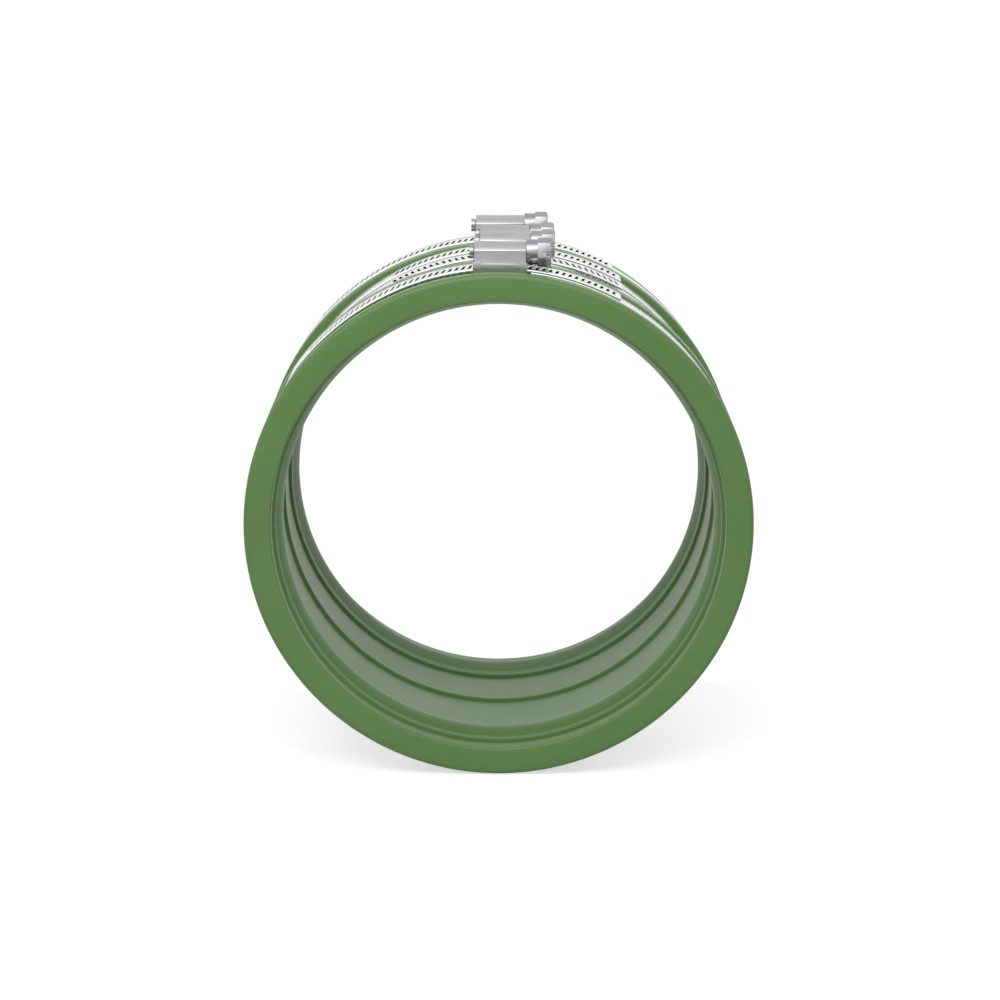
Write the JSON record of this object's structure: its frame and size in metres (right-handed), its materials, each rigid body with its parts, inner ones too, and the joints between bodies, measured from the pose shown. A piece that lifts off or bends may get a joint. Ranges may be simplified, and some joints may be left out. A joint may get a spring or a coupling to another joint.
{
  "type": "flexible pipe coupling",
  "caption": "Ribbed green rubber sleeve that joins two plain pipe ends, with a stainless shear ring round its middle and worm drive band clamps drawn up side by side.",
  "frame": {"origin": "on the sleeve's axis at mid-length", "axes": "+Z along the pipe's axis, towards the end that faces the viewer in the picture; +Y towards the clamp housings; +X the way the screw heads point"},
  "size_m": [0.16, 0.1688, 0.116],
  "materials": {
    "green_rubber": "satin moulded rubber, mid green",
    "ring_steel": "cold rolled stainless strip",
    "band_steel": "polished stainless strip with punched slots",
    "housing_steel": "folded stainless sheet, satin",
    "screw_steel": "turned steel, plated"
  },
  "bodies": {
    "coupling": {"sleeve": "green_rubber", "shear_ring": "ring_steel", "band_1": "band_steel", "band_2": "band_steel", "band_3": "band_steel", "band_4": "band_steel", "saddle_1": "housing_steel", "saddle_2": "housing_steel", "saddle_3": "housing_steel", "saddle_4": "housing_steel", "housing_1": "housing_steel", "housing_2": "housing_steel", "housing_3": "housing_steel", "housing_4": "housing_steel"},
    "screw_1": {"worm_screw_1": "screw_steel"},
    "screw_2": {"worm_screw_2": "screw_steel"},
    "screw_3": {"worm_screw_3": "screw_steel"},
    "screw_4": {"worm_screw_4": "screw_steel"}
  },
  "joints": [
    {"name": "screw_1_turn", "type": "hinge", "parent": "coupling", "child": "screw_1", "pos_m": [0.00044, 0.08437, -0.0374], "axis": [1, -0.0052, 0], "continuous": true},
    {"name": "screw_2_turn", "type": "hinge", "parent": "coupling", "child": "screw_2", "pos_m": [0.00206, 0.08414, -0.01], "axis": [0.9997, -0.0244, 0], "continuous": true},
    {"name": "screw_3_turn", "type": "hinge", "parent": "coupling", "child": "screw_3", "pos_m": [0.00206, 0.08414, 0.01], "axis": [0.9997, -0.0244, 0], "continuous": true},
    {"name": "screw_4_turn", "type": "hinge", "parent": "coupling", "child": "screw_4", "pos_m": [0.00044, 0.08437, 0.0374], "axis": [1, -0.0052, 0], "continuous": true}
  ]
}
